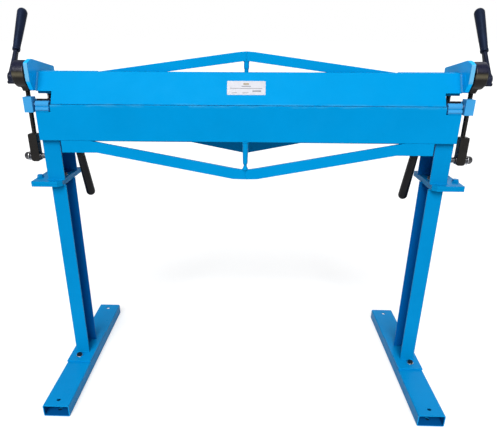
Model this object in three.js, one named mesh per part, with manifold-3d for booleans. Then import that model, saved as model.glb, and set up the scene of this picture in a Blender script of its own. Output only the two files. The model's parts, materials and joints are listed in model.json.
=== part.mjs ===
// Hand-operated sheet metal brake on a two-post stand, in millimetres.
// +X runs along the bend line, -Y faces the operator, +Z is up.
// The origin is on the floor, under the middle of the two feet.
// Left and right pieces are mirror images about X = 0, so each side is made by one function.
import * as THREE from 'three';
import { mergeVertices } from 'three/addons/utils/BufferGeometryUtils.js';
import Module from 'manifold-3d';

// ---- driving dimensions ----
const GAP = 0.3;                  // air left between pieces that touch
const STEEL_SIDES = 24;           // facets round a bar or a bore
const HOLE_ALLOWANCE = 0.6;       // a bolt hole's radius over its bolt's
const BOLT = { corner: 1.83, head: 1.3, nut: 1.6, tail: 2.6 };   // times the shank's radius

// bend line: the front top edge of the bed, which is also the leaf's hinge axis
const BEND_Y = -40;
const BEND_Z = 1023;
const WORKING_LENGTH = 1270;      // length of the beam's nose
const NOSE_END = WORKING_LENGTH / 2;
const CLEARANCE = 0.4;            // from the bend line to the leaf, the bed and the nose
const RUNNING_FIT = 0.5;          // radial play of a turning shaft in its bore

// feet
const FOOT = { x: 644, width: 92, length: 672, height: 46, wall: 4 };
const ANCHOR_HOLE = { y: 305, radius: 7.2 };
const FOOT_PLATE = { front: -98, rear: 106, thickness: 6 };
const FOOT_BOLTS = { x: 652, front: -63, rear: 76, radius: 6 };

// stand posts and machine legs: channels that open towards the middle
const POST = { inner: 620.5, outer: 672.5, front: -40.5, rear: 53.5, wall: 6 };
const LEG = { inner: 622.5, outer: 682, front: -38, rear: 88, wall: 6 };

// plates that join a post to a leg
const JOINT = { inner: 627, outer: 730, front: -65, rear: 138, corner: 14, thickness: 9 };
const STAND_TOP_PLATE_Z = 751;
const LEG_BASE_PLATE_Z = STAND_TOP_PLATE_Z + JOINT.thickness + GAP;
const LEG_BASE_Z = LEG_BASE_PLATE_Z + JOINT.thickness + GAP;
const JOINT_BOLTS = { outer: { x: 720.5, y: -7.5 }, inner: { x: 648, y: 25 }, radius: 6 };

// bed
const BED = { end: 683, rear: 130, thickness: 16 };
const BED_TOP = BEND_Z - CLEARANCE;
const BED_BOTTOM = BED_TOP - BED.thickness;
const BED_NOTCH = { start: NOSE_END + 0.5, front: -27 };
const RAIL = { thickness: 12, bottom: 940 };
const BED_WEB = { front: 44, rear: 54, endBottom: 887, middleBottom: 850, slope: 0.195 };

// hinge blocks, pins and knuckles on the bend line
const HINGE_BLOCK = { inner: 686, outer: 714, front: -60, rear: -28.5, bottom: 999, top: 1047 };
const HINGE_ARM = { inner: 683.3, outer: 706, front: -32, rear: 40 };
const HINGE_KEY = { inner: 638, front: -26.5, rear: -14, top: 1038 };   // rests on the bed behind the knuckle
const HINGE_PIN = { inner: 641, outer: 712, radius: 6 };
const KNUCKLE = { inner: 637.5, outer: 682, radius: 11, bore: 6.5 };
const KNUCKLE_FOOT = { y: -47, z: 1008.5, radius: 7.6 };

// leaf
const LEAF = { end: 682, front: -54, bottom: 908, notchStart: 633, notchTop: 1000 };
const LEAF_BACK = BEND_Y - CLEARANCE;
const LEAF_TRUSS = {
  end: 612, level: 495, levelTop: 517, levelBottom: 868, flat: 40,
  middleBottom: 782, flatBottom: 783, middleTop: 814, flatTop: 820, thickness: 12,
};
const LEAF_STRUT = { bottom: 815.5, radius: 10, shoulder: 8, neck: 6, foot: 8.5 };
const HANDLE = { x: 561, lean: 20, topY: -36, topZ: 888, length: 205, topRadius: 13.5, endRadius: 15.8 };

// clamping beam
const FACE_LEAN = Math.PI / 6;    // the beam's face leans back from the nose
const FACE = { thickness: 12, top: 1121, end: 686.7, notchBottom: 1062 };
const BEAM_WEB = { front: -2, rear: 150, bottom: 1053, top: 1063 };
const BEAM_TRUSS = {
  end: 686, level: 487, front: 30.8, thickness: 12,
  flat: 26, middleTop: 1184, flatTop: 1182, middleBottom: 1155, endTop: 1120.5, endBottom: 1091,
};
const BEAM_STRUT = { radius: 8.6, waist: 6.8, topGap: 1.3 };
const CHEEK = {
  inner: 687, outer: 699.7, corner: 6,
  outline: [[160, 1064], [160, 1131], [-14, 1161], [-50, 1150], [-50, 1096], [-30, 1064]],
};

// clamps: an eccentric in each cheek, and a link down to a pivot on the leg
const CLAMP_Y = -10;
const SHAFT_Z = 1103;
const ECCENTRICITY = 12;
const ECCENTRIC_Z = SHAFT_Z + ECCENTRICITY;
const SHAFT = { inner: 688, shoulder: 753, outer: 770.5, radius: 12, endRadius: 9.5 };
const DISC = { inner: 706, outer: 740, radius: 27 };
const HEAD = { inner: 704, outer: 742, radius: 42, bore: 31.6, neckBottom: 1062 };
const NECK = { halfWidth: 11, halfDepth: 12, shoulder: 34, shoulderDrop: 24, outerDrop: 27, innerDrop: 36 };
const LINK_X = 716.5;
const TIE_ROD_RADIUS = 7.5;
const LINK_BLOCK = { x: 720.5, width: 30, depth: 28, bottom: 829, top: 923, corner: 10, chamfer: 4 };
const PIVOT = { z: 846, radius: 6, collar: 9, head: 16, headInner: 748.5, headOuter: 761.5 };
const LEVER = { x: 762, lean: 37, hubRadius: 17.5, hubWidth: 14.5, neck: 100, width: 18, thickness: 13 };
const GRIP = { start: 101, length: 163, startRadius: 12.2, endRadius: 16.6, bore: 6.5 };

// guide studs and lift springs between the bed and the beam
const STUD = { x: 660, y: 24, radius: 5, top: 1082, hole: 5.8 };
const SPRING = { outer: 9, inner: 6 };

// ---- materials ----
function material(color, roughness, metalness) {
  return () => new THREE.MeshStandardMaterial({ color, roughness, metalness });
}
const bluePaint = material(0x0a97e0, 0.35, 0.0);
const blackSteel = material(0x17181c, 0.45, 0.3);
const blackPlastic = material(0x1b1d26, 0.5, 0.0);
const zinc = material(0xb9bcc0, 0.35, 0.9);

// ---- solids ----
const wasm = await Module();
wasm.setup();

// A closed geometry as a manifold-3d solid.
function solid(geometry) {
  const bare = geometry.index ? geometry.toNonIndexed() : geometry.clone();
  bare.deleteAttribute('normal');
  bare.deleteAttribute('uv');
  const merged = mergeVertices(bare, 1e-4);
  return new wasm.Manifold(new wasm.Mesh({
    numProp: 3,
    vertProperties: new Float32Array(merged.attributes.position.array),
    triVerts: new Uint32Array(merged.index.array),
  }));
}

// The solid as a named mesh.
function piece(name, shape, paint) {
  const made = shape.getMesh();
  const geometry = new THREE.BufferGeometry();
  geometry.setAttribute('position', new THREE.BufferAttribute(made.vertProperties, 3));
  geometry.setIndex(new THREE.BufferAttribute(made.triVerts, 1));
  geometry.computeVertexNormals();
  const mesh = new THREE.Mesh(geometry, paint());
  mesh.name = name;
  return mesh;
}

// A box between two values on each axis, given in either order.
function box(x0, x1, y0, y1, z0, z1) {
  const shape = new THREE.BoxGeometry(Math.abs(x1 - x0), Math.abs(y1 - y0), Math.abs(z1 - z0));
  shape.translate((x0 + x1) / 2, (y0 + y1) / 2, (z0 + z1) / 2);
  return solid(shape);
}

// An outline pushed from one value to another along the axis that its plane faces.
const PLANES = {
  x: [[0, 1, 0], [0, 0, 1], [1, 0, 0]],
  y: [[1, 0, 0], [0, 0, 1], [0, -1, 0]],
  z: [[1, 0, 0], [0, 1, 0], [0, 0, 1]],
};
function plate(axis, points, from, to) {
  const outline = points instanceof THREE.Shape
    ? points
    : new THREE.Shape(points.map(([u, v]) => new THREE.Vector2(u, v)));
  const low = Math.min(from, to);
  const high = Math.max(from, to);
  const shape = new THREE.ExtrudeGeometry(outline, {
    depth: high - low, bevelEnabled: false, curveSegments: 6,
  });
  const basis = PLANES[axis].map((v) => new THREE.Vector3(...v));
  const start = axis === 'y' ? -high : low;
  shape.translate(0, 0, start);
  shape.applyMatrix4(new THREE.Matrix4().makeBasis(...basis));
  return solid(shape);
}

// The points of an outline whose x is mirrored for the left side.
function sided(side, points) {
  return points.map(([x, v]) => [side * x, v]);
}

// A convex outline with its corners rounded.
function rounded(points, radius) {
  const outline = new THREE.Shape();
  points.forEach((corner, i) => {
    const here = new THREE.Vector2(...corner);
    const before = new THREE.Vector2(...points[(i + points.length - 1) % points.length]);
    const after = new THREE.Vector2(...points[(i + 1) % points.length]);
    const entry = here.clone().add(before.sub(here).setLength(radius));
    const exit = here.clone().add(after.sub(here).setLength(radius));
    if (i === 0) outline.moveTo(entry.x, entry.y);
    else outline.lineTo(entry.x, entry.y);
    outline.quadraticCurveTo(here.x, here.y, exit.x, exit.y);
  });
  outline.closePath();
  return outline;
}

// A turned piece: its profile is [distance along, radius] from one end to the other.
function turned(profile, origin, direction, sides = STEEL_SIDES) {
  const first = [0, profile[0][0]];
  const last = [0, profile[profile.length - 1][0]];
  const outline = [first, ...profile.map(([along, radius]) => [radius, along]), last];
  const points = outline.map(([r, z]) => new THREE.Vector2(r, z));
  const shape = new THREE.LatheGeometry(points, sides);
  const towards = new THREE.Vector3(...direction).normalize();
  const turn = new THREE.Quaternion().setFromUnitVectors(new THREE.Vector3(0, 1, 0), towards);
  shape.applyQuaternion(turn);
  shape.translate(...origin);
  return solid(shape);
}

// A round bar along X from one value to the other.
function barX(radius, from, to, y, z, sides = STEEL_SIDES) {
  const low = Math.min(from, to);
  return turned([[0, radius], [Math.abs(to - from), radius]], [low, y, z], [1, 0, 0], sides);
}

// A round bar along Z.
function barZ(radius, x, y, from, to, sides = STEEL_SIDES) {
  return turned([[0, radius], [to - from, radius]], [x, y, from], [0, 0, 1], sides);
}

// A bolt through a stack of plates along Z: hexagon head on top, shank, nut below.
function throughBolt(x, y, radius, stackBottom, stackTop) {
  const corner = radius * BOLT.corner;
  const head = barZ(corner, x, y, stackTop + GAP, stackTop + GAP + radius * BOLT.head, 6);
  const shank = barZ(radius, x, y, stackBottom - radius * BOLT.tail, stackTop + GAP + 1, 16);
  const nut = barZ(corner, x, y, stackBottom - GAP - radius * BOLT.nut, stackBottom - GAP, 6);
  return head.add(shank).add(nut);
}

// ---- stand ----
function footTube(side) {
  const x0 = FOOT.x - FOOT.width / 2;
  const x1 = FOOT.x + FOOT.width / 2;
  const half = FOOT.length / 2;
  const outside = box(side * x0, side * x1, -half, half, 0, FOOT.height);
  const inside = box(
    side * (x0 + FOOT.wall), side * (x1 - FOOT.wall),
    -half - 1, half + 1, FOOT.wall, FOOT.height - FOOT.wall,
  );
  let tube = outside.subtract(inside);
  for (const y of [-ANCHOR_HOLE.y, ANCHOR_HOLE.y]) {
    tube = tube.subtract(barZ(ANCHOR_HOLE.radius, side * FOOT.x, y, -1, FOOT.height + 1, 16));
  }
  for (const y of [FOOT_BOLTS.front, FOOT_BOLTS.rear]) {
    const hole = barZ(FOOT_BOLTS.radius + HOLE_ALLOWANCE, side * FOOT_BOLTS.x, y, FOOT.height / 2, FOOT.height + 1, 16);
    tube = tube.subtract(hole);
  }
  return tube;
}

const FOOT_PLATE_TOP = FOOT.height + GAP + FOOT_PLATE.thickness;

function footPlate(side) {
  const x0 = side * (FOOT.x - FOOT.width / 2);
  const x1 = side * (FOOT.x + FOOT.width / 2);
  let sheet = box(x0, x1, FOOT_PLATE.front, FOOT_PLATE.rear, FOOT.height + GAP, FOOT_PLATE_TOP);
  for (const y of [FOOT_BOLTS.front, FOOT_BOLTS.rear]) {
    const hole = barZ(FOOT_BOLTS.radius + HOLE_ALLOWANCE, side * FOOT_BOLTS.x, y, FOOT.height, FOOT_PLATE_TOP + 1, 16);
    sheet = sheet.subtract(hole);
  }
  return sheet;
}

function footBolt(side, y) {
  const stackBottom = FOOT.height - FOOT.wall;
  return throughBolt(side * FOOT_BOLTS.x, y, FOOT_BOLTS.radius, stackBottom, FOOT_PLATE_TOP);
}

// A channel standing on end: a web on the outer side and a flange at front and rear.
function channel(side, size, bottom, top) {
  const outline = sided(side, [
    [size.inner, size.front],
    [size.outer, size.front],
    [size.outer, size.rear],
    [size.inner, size.rear],
    [size.inner, size.rear - size.wall],
    [size.outer - size.wall, size.rear - size.wall],
    [size.outer - size.wall, size.front + size.wall],
    [size.inner, size.front + size.wall],
  ]);
  return plate('z', outline, bottom, top);
}

function jointPlate(side, bottom) {
  const corners = sided(side, [
    [JOINT.inner, JOINT.front + JOINT.corner],
    [JOINT.inner + JOINT.corner, JOINT.front],
    [JOINT.outer, JOINT.front],
    [JOINT.outer, JOINT.rear],
    [JOINT.inner, JOINT.rear],
  ]);
  let sheet = plate('z', corners, bottom, bottom + JOINT.thickness);
  for (const at of [JOINT_BOLTS.outer, JOINT_BOLTS.inner]) {
    const hole = barZ(
      JOINT_BOLTS.radius + HOLE_ALLOWANCE, side * at.x, at.y, bottom - 1, bottom + JOINT.thickness + 1, 16,
    );
    sheet = sheet.subtract(hole);
  }
  return sheet;
}

function jointBolt(side, at) {
  const stackTop = LEG_BASE_PLATE_Z + JOINT.thickness;
  return throughBolt(side * at.x, at.y, JOINT_BOLTS.radius, STAND_TOP_PLATE_Z, stackTop);
}

// ---- bed ----
function bedTable() {
  let table = box(-BED.end, BED.end, BEND_Y + CLEARANCE, BED.rear, BED_BOTTOM, BED_TOP);
  for (const side of [-1, 1]) {
    const notch = box(
      side * BED_NOTCH.start, side * (BED.end + 1),
      BEND_Y, BED_NOTCH.front, BED_BOTTOM - 1, BED_TOP + 1,
    );
    table = table.subtract(notch);
  }
  return table;
}

const BETWEEN_LEGS = LEG.inner - GAP;

function bedFrontRail() {
  const front = BEND_Y + CLEARANCE;
  return box(-BETWEEN_LEGS, BETWEEN_LEGS, front, front + RAIL.thickness, RAIL.bottom, BED_BOTTOM - GAP);
}

function bedWeb() {
  const bend = (BED_WEB.endBottom - BED_WEB.middleBottom) / BED_WEB.slope;
  const top = BED_BOTTOM - GAP;
  const outline = [
    [0, BED_WEB.middleBottom], [bend, BED_WEB.endBottom], [BETWEEN_LEGS, BED_WEB.endBottom],
    [BETWEEN_LEGS, top], [-BETWEEN_LEGS, top],
    [-BETWEEN_LEGS, BED_WEB.endBottom], [-bend, BED_WEB.endBottom],
  ];
  return plate('y', outline, BED_WEB.front, BED_WEB.rear);
}

// ---- hinges on the bend line ----
function hingeBlock(side) {
  const block = box(
    side * HINGE_BLOCK.inner, side * HINGE_BLOCK.outer,
    HINGE_BLOCK.front, HINGE_BLOCK.rear, HINGE_BLOCK.bottom, HINGE_BLOCK.top,
  );
  const arm = box(
    side * HINGE_ARM.inner, side * HINGE_ARM.outer,
    HINGE_ARM.front, HINGE_ARM.rear, HINGE_BLOCK.bottom, BED_TOP,
  );
  const step = box(
    side * HINGE_BLOCK.inner, side * HINGE_ARM.outer,
    HINGE_ARM.front, HINGE_KEY.rear, BED_TOP - 1, HINGE_KEY.top,
  );
  const key = box(
    side * HINGE_KEY.inner, side * HINGE_ARM.outer,
    HINGE_KEY.front, HINGE_KEY.rear, BED_TOP + GAP, HINGE_KEY.top,
  );
  const bore = barX(
    HINGE_PIN.radius + GAP, side * (HINGE_ARM.inner - 1), side * (HINGE_BLOCK.outer + 1), BEND_Y, BEND_Z,
  );
  return block.add(arm).add(step).add(key).subtract(bore);
}

function hingePin(side) {
  return barX(HINGE_PIN.radius, side * HINGE_PIN.inner, side * HINGE_PIN.outer, BEND_Y, BEND_Z);
}

function leafKnuckle(side) {
  const from = side * KNUCKLE.inner;
  const to = side * KNUCKLE.outer;
  const eye = barX(KNUCKLE.radius, from, to, BEND_Y, BEND_Z);
  const foot = barX(KNUCKLE_FOOT.radius, from, to, KNUCKLE_FOOT.y, KNUCKLE_FOOT.z);
  const bore = barX(KNUCKLE.bore, from - side, to + side, BEND_Y, BEND_Z);
  return eye.add(foot).subtract(bore);
}

// ---- leaf ----
function leafPlate() {
  const top = BEND_Z - CLEARANCE;
  const outline = [
    [-LEAF.end, LEAF.bottom], [LEAF.end, LEAF.bottom],
    [LEAF.end, LEAF.notchTop], [LEAF.notchStart, LEAF.notchTop],
    [LEAF.notchStart, top], [-LEAF.notchStart, top],
    [-LEAF.notchStart, LEAF.notchTop], [-LEAF.end, LEAF.notchTop],
  ];
  return plate('y', outline, LEAF.front, LEAF_BACK);
}

function leafTruss(side) {
  const t = LEAF_TRUSS;
  const top = LEAF.bottom - GAP;
  const outline = sided(side, [
    [GAP / 2, t.middleBottom], [t.flat, t.flatBottom],
    [t.level, t.levelBottom], [t.end, t.levelBottom],
    [t.end, top], [t.levelTop, top],
    [t.flat, t.flatTop], [GAP / 2, t.middleTop],
  ]);
  return plate('y', outline, LEAF.front, LEAF.front + t.thickness);
}

function leafStrut() {
  const s = LEAF_STRUT;
  const y = LEAF.front + LEAF_TRUSS.thickness / 2;
  const height = LEAF.bottom - GAP - s.bottom;
  const profile = [
    [0, s.foot], [10, s.neck], [22, s.neck], [27, s.shoulder], [34, s.radius], [height, s.radius],
  ];
  return turned(profile, [0, y, s.bottom], [0, 0, 1], 16);
}

function bendingHandle(side) {
  const lean = THREE.MathUtils.degToRad(HANDLE.lean);
  const tip = HANDLE.endRadius;
  const profile = [
    [0, HANDLE.topRadius],
    [HANDLE.length - tip, tip],
    [HANDLE.length - tip * 0.45, tip * 0.86],
    [HANDLE.length - tip * 0.12, tip * 0.5],
    [HANDLE.length, tip * 0.15],
  ];
  const top = [side * HANDLE.x, HANDLE.topY, HANDLE.topZ];
  const bar = turned(profile, top, [0, Math.sin(lean), -Math.cos(lean)], 20);
  const around = 2 * HANDLE.endRadius;
  const inFrontOfLeafBack = box(
    side * (HANDLE.x - around), side * (HANDLE.x + around),
    LEAF.front - around, LEAF_BACK + GAP, HANDLE.topZ - HANDLE.length, HANDLE.topZ + around,
  );
  return bar.subtract(inFrontOfLeafBack);
}

// ---- clamping beam ----
function faceY(z) {
  return BEND_Y + (z - BEND_Z) * Math.tan(FACE_LEAN);
}

function beamFace() {
  const depth = FACE.thickness / Math.cos(FACE_LEAN);
  const bottom = BEND_Z + CLEARANCE;
  const section = [
    [faceY(bottom), bottom],
    [faceY(bottom) + depth, bottom],
    [faceY(FACE.top) + depth, FACE.top],
    [faceY(FACE.top), FACE.top],
  ];
  let face = plate('x', section, -FACE.end, FACE.end);
  for (const side of [-1, 1]) {
    const notch = box(side * NOSE_END, side * (FACE.end + 1), -80, 60, bottom - 5, FACE.notchBottom);
    face = face.subtract(notch);
  }
  return face;
}

function beamWeb() {
  let web = box(-FACE.end, FACE.end, BEAM_WEB.front, BEAM_WEB.rear, BEAM_WEB.bottom, BEAM_WEB.top);
  for (const side of [-1, 1]) {
    const hole = barZ(STUD.hole, side * STUD.x, STUD.y, BEAM_WEB.bottom - 1, BEAM_WEB.top + 1, 16);
    web = web.subtract(hole);
  }
  return web;
}

function beamTruss(side) {
  const t = BEAM_TRUSS;
  const outline = sided(side, [
    [GAP / 2, t.middleBottom], [t.level, t.endBottom], [t.end, t.endBottom],
    [t.end, t.endTop], [t.level, t.endTop], [t.flat, t.flatTop], [GAP / 2, t.middleTop],
  ]);
  return plate('y', outline, t.front, t.front + t.thickness);
}

function beamStrut() {
  const s = BEAM_STRUT;
  const y = BEAM_TRUSS.front + s.radius;
  const bottom = BEAM_WEB.top + GAP;
  const height = BEAM_TRUSS.middleBottom - s.topGap - bottom;
  const profile = [
    [0, s.radius], [6, s.radius], [9, s.waist], [height - 25, s.waist], [height - 21, s.radius], [height, s.radius],
  ];
  return turned(profile, [0, y, bottom], [0, 0, 1], 16);
}

function cheek(side) {
  const outline = rounded(CHEEK.outline, CHEEK.corner);
  const sheet = plate('x', outline, side * CHEEK.inner, side * CHEEK.outer);
  const bore = barX(SHAFT.radius + RUNNING_FIT, side * (CHEEK.inner - 1), side * (CHEEK.outer + 1), CLAMP_Y, SHAFT_Z);
  return sheet.subtract(bore);
}

// ---- clamps ----
function eccentricShaft(side) {
  const body = barX(SHAFT.radius, side * SHAFT.inner, side * SHAFT.shoulder, CLAMP_Y, SHAFT_Z);
  const disc = barX(DISC.radius, side * DISC.inner, side * DISC.outer, CLAMP_Y, ECCENTRIC_Z, 32);
  const end = barX(SHAFT.endRadius, side * (SHAFT.shoulder - 2), side * SHAFT.outer, CLAMP_Y, SHAFT_Z);
  return body.add(disc).add(end);
}

function linkHead(side) {
  const ring = barX(HEAD.radius, side * HEAD.inner, side * HEAD.outer, CLAMP_Y, ECCENTRIC_Z, 40);
  const n = NECK;
  const front = sided(side, [
    [LINK_X - n.halfWidth, HEAD.neckBottom], [LINK_X + n.halfWidth, HEAD.neckBottom],
    [HEAD.outer, ECCENTRIC_Z - n.outerDrop], [HEAD.outer, ECCENTRIC_Z],
    [HEAD.inner, ECCENTRIC_Z], [HEAD.inner, ECCENTRIC_Z - n.innerDrop],
  ]);
  const profile = [
    [CLAMP_Y - n.halfDepth, HEAD.neckBottom], [CLAMP_Y + n.halfDepth, HEAD.neckBottom],
    [CLAMP_Y + n.shoulder, ECCENTRIC_Z - n.shoulderDrop], [CLAMP_Y + n.shoulder, ECCENTRIC_Z],
    [CLAMP_Y - n.shoulder, ECCENTRIC_Z], [CLAMP_Y - n.shoulder, ECCENTRIC_Z - n.shoulderDrop],
  ];
  const neck = plate('y', front, CLAMP_Y - HEAD.radius, CLAMP_Y + HEAD.radius)
    .intersect(plate('x', profile, side * HEAD.inner, side * HEAD.outer));
  const bore = barX(HEAD.bore, side * (HEAD.inner - 1), side * (HEAD.outer + 1), CLAMP_Y, ECCENTRIC_Z, 40);
  return ring.add(neck).subtract(bore);
}

function tieRod(side) {
  const bottom = LINK_BLOCK.top + GAP;
  return barZ(TIE_ROD_RADIUS, side * LINK_X, CLAMP_Y, bottom, HEAD.neckBottom - GAP);
}

function linkBlock(side) {
  const b = LINK_BLOCK;
  const x0 = b.x - b.width / 2;
  const x1 = b.x + b.width / 2;
  const outline = sided(side, [
    [x0 + b.corner, b.bottom], [x1 - b.corner, b.bottom], [x1 - b.corner * 0.3, b.bottom + b.corner * 0.3],
    [x1, b.bottom + b.corner], [x1, b.top - b.chamfer], [x1 - b.chamfer, b.top],
    [x0 + b.chamfer, b.top], [x0, b.top - b.chamfer],
    [x0, b.bottom + b.corner], [x0 + b.corner * 0.3, b.bottom + b.corner * 0.3],
  ]);
  const block = plate('y', outline, CLAMP_Y - b.depth / 2, CLAMP_Y + b.depth / 2);
  const bore = barX(PIVOT.radius + RUNNING_FIT, side * (x0 - 1), side * (x1 + 1), CLAMP_Y, PIVOT.z);
  return block.subtract(bore);
}

function pivotBolt(side) {
  const start = LEG.outer + GAP;
  const collarEnd = LINK_BLOCK.x - LINK_BLOCK.width / 2 - 0.7;
  const profile = [
    [0, PIVOT.collar], [collarEnd - start, PIVOT.collar], [collarEnd - start, PIVOT.radius],
    [PIVOT.headInner - start, PIVOT.radius], [PIVOT.headInner - start, PIVOT.head],
    [PIVOT.headInner - start + 5, PIVOT.head], [PIVOT.headOuter - start - 3.5, PIVOT.head * 0.82],
    [PIVOT.headOuter - start, PIVOT.head * 0.45],
  ];
  return turned(profile, [side * start, CLAMP_Y, PIVOT.z], [side, 0, 0]);
}

// Points of the lever are given as [distance from the shaft along the lever, offset across it].
function leverPoint(along, across) {
  const lean = THREE.MathUtils.degToRad(LEVER.lean);
  return [
    CLAMP_Y + along * Math.sin(lean) + across * Math.cos(lean),
    SHAFT_Z + along * Math.cos(lean) - across * Math.sin(lean),
  ];
}

function clampLever(side) {
  const l = LEVER;
  const inner = side * (l.x - l.hubWidth / 2);
  const outer = side * (l.x + l.hubWidth / 2);
  const hub = barX(l.hubRadius, inner, outer, CLAMP_Y, SHAFT_Z, 32);
  const outline = [
    leverPoint(0, -l.hubRadius + 1), leverPoint(l.neck, -l.width / 2),
    leverPoint(l.neck, l.width / 2), leverPoint(0, l.hubRadius - 1),
  ];
  const shank = plate('x', outline.reverse(), side * (l.x - l.thickness / 2), side * (l.x + l.thickness / 2));
  const direction = leverDirection();
  const stud = turned(
    [[0, GRIP.bore - GAP], [GRIP.length * 0.75, GRIP.bore - GAP]],
    [side * l.x, ...leverPoint(l.neck - 5, 0)], direction, 16,
  );
  const bore = barX(SHAFT.endRadius + GAP, inner - side, outer + side, CLAMP_Y, SHAFT_Z);
  return hub.add(shank).add(stud).subtract(bore);
}

function leverDirection() {
  const lean = THREE.MathUtils.degToRad(LEVER.lean);
  return [0, Math.sin(lean), Math.cos(lean)];
}

function leverGrip(side) {
  const g = GRIP;
  const profile = [
    [0, g.startRadius - 1.5], [2, g.startRadius], [g.length - g.endRadius, g.endRadius],
    [g.length - g.endRadius * 0.45, g.endRadius * 0.88],
    [g.length - g.endRadius * 0.12, g.endRadius * 0.52],
    [g.length, g.endRadius * 0.12],
  ];
  const start = [side * LEVER.x, ...leverPoint(g.start, 0)];
  const below = [side * LEVER.x, ...leverPoint(g.start - 1, 0)];
  const bore = turned([[0, g.bore], [g.length * 0.78, g.bore]], below, leverDirection(), 16);
  return turned(profile, start, leverDirection(), 24).subtract(bore);
}

// ---- guides between the bed and the beam ----
function guideStud(side) {
  return barZ(STUD.radius, side * STUD.x, STUD.y, BED_TOP + GAP, STUD.top, 16);
}

function liftSpring(side) {
  const bottom = BED_TOP + GAP;
  const top = BEAM_WEB.bottom - GAP;
  const tube = barZ(SPRING.outer, side * STUD.x, STUD.y, bottom, top, 16);
  return tube.subtract(barZ(SPRING.inner, side * STUD.x, STUD.y, bottom - 1, top + 1, 16));
}

// ---- assembly ----
const brake = new THREE.Group();
const SIDES = [['left', -1], ['right', 1]];

for (const [label, side] of SIDES) {
  brake.add(
    piece(`foot_tube_${label}`, footTube(side), bluePaint),
    piece(`foot_plate_${label}`, footPlate(side), bluePaint),
    piece(`foot_bolt_front_${label}`, footBolt(side, FOOT_BOLTS.front), blackSteel),
    piece(`foot_bolt_rear_${label}`, footBolt(side, FOOT_BOLTS.rear), blackSteel),
    piece(`stand_post_${label}`, channel(side, POST, FOOT_PLATE_TOP + GAP, STAND_TOP_PLATE_Z - GAP), bluePaint),
    piece(`stand_top_plate_${label}`, jointPlate(side, STAND_TOP_PLATE_Z), bluePaint),
    piece(`leg_base_plate_${label}`, jointPlate(side, LEG_BASE_PLATE_Z), bluePaint),
    piece(`joint_bolt_outer_${label}`, jointBolt(side, JOINT_BOLTS.outer), blackSteel),
    piece(`joint_bolt_inner_${label}`, jointBolt(side, JOINT_BOLTS.inner), zinc),
    piece(`machine_leg_${label}`, channel(side, LEG, LEG_BASE_Z, BED_BOTTOM - GAP), bluePaint),
    piece(`hinge_block_${label}`, hingeBlock(side), bluePaint),
    piece(`hinge_pin_${label}`, hingePin(side), zinc),
    piece(`guide_stud_${label}`, guideStud(side), zinc),
    piece(`lift_spring_${label}`, liftSpring(side), blackSteel),
    piece(`pivot_bolt_${label}`, pivotBolt(side), zinc),
    piece(`leaf_knuckle_${label}`, leafKnuckle(side), bluePaint),
    piece(`leaf_truss_${label}`, leafTruss(side), bluePaint),
    piece(`bending_handle_${label}`, bendingHandle(side), blackPlastic),
    piece(`beam_truss_${label}`, beamTruss(side), bluePaint),
    piece(`beam_cheek_${label}`, cheek(side), bluePaint),
    piece(`eccentric_shaft_${label}`, eccentricShaft(side), blackSteel),
    piece(`clamp_lever_${label}`, clampLever(side), blackSteel),
    piece(`lever_grip_${label}`, leverGrip(side), blackPlastic),
    piece(`link_head_${label}`, linkHead(side), blackSteel),
    piece(`tie_rod_${label}`, tieRod(side), blackSteel),
    piece(`link_block_${label}`, linkBlock(side), blackSteel),
  );
}
brake.add(
  piece('bed_table', bedTable(), bluePaint),
  piece('bed_front_rail', bedFrontRail(), bluePaint),
  piece('bed_web', bedWeb(), bluePaint),
  piece('leaf_plate', leafPlate(), bluePaint),
  piece('leaf_strut', leafStrut(), bluePaint),
  piece('beam_face', beamFace(), bluePaint),
  piece('beam_web', beamWeb(), bluePaint),
  piece('beam_strut', beamStrut(), bluePaint),
);

export default brake;
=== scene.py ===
"""Sheet metal brake: the looks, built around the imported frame.

Metres, +Z up, -Y towards the operator. Left and right pieces are mirror images about X = 0.
"""

import json
import math
import random

import bmesh
import bpy
from mathutils import Matrix, Vector


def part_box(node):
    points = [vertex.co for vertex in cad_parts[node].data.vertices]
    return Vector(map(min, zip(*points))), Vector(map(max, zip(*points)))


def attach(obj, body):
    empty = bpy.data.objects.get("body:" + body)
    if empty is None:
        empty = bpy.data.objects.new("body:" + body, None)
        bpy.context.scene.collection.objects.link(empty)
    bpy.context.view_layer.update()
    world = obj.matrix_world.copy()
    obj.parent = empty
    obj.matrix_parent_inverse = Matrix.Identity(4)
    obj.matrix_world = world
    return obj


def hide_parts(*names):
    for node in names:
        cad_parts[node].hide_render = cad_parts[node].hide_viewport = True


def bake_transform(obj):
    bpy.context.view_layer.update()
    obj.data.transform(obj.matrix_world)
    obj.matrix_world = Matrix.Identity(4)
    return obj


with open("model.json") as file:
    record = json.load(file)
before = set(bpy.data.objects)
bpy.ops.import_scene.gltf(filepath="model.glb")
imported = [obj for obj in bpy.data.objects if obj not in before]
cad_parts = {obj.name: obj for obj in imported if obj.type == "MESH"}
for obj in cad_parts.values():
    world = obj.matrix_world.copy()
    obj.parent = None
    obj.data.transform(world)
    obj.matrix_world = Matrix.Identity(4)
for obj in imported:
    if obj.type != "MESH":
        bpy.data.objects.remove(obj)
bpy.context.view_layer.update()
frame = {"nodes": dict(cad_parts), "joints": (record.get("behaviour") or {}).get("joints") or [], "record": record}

NODES = frame["nodes"]
JOINTS = {joint["name"]: joint for joint in frame["joints"]}
SIDES = (("left", -1), ("right", 1))
MM = 0.001
UP = Vector((0, 0, 1))
FACE_LEAN = math.radians(30)     # the beam's face leans back from upright
LEVER_LEAN = math.radians(37)    # the clamp levers lean back at rest
HANDLE_LEAN = math.radians(20)   # the bending handles lean back from straight down
TINY = 1e-5                      # points closer than this count as one
random.seed(7)


def mm(*values):
    """Millimetres as metres: one number, or a vector of three."""
    scaled = [v * MM for v in values]
    return Vector(scaled) if len(scaled) == 3 else scaled[0]


def low(node):
    return Vector(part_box(node)[0])


def high(node):
    return Vector(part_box(node)[1])


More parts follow.
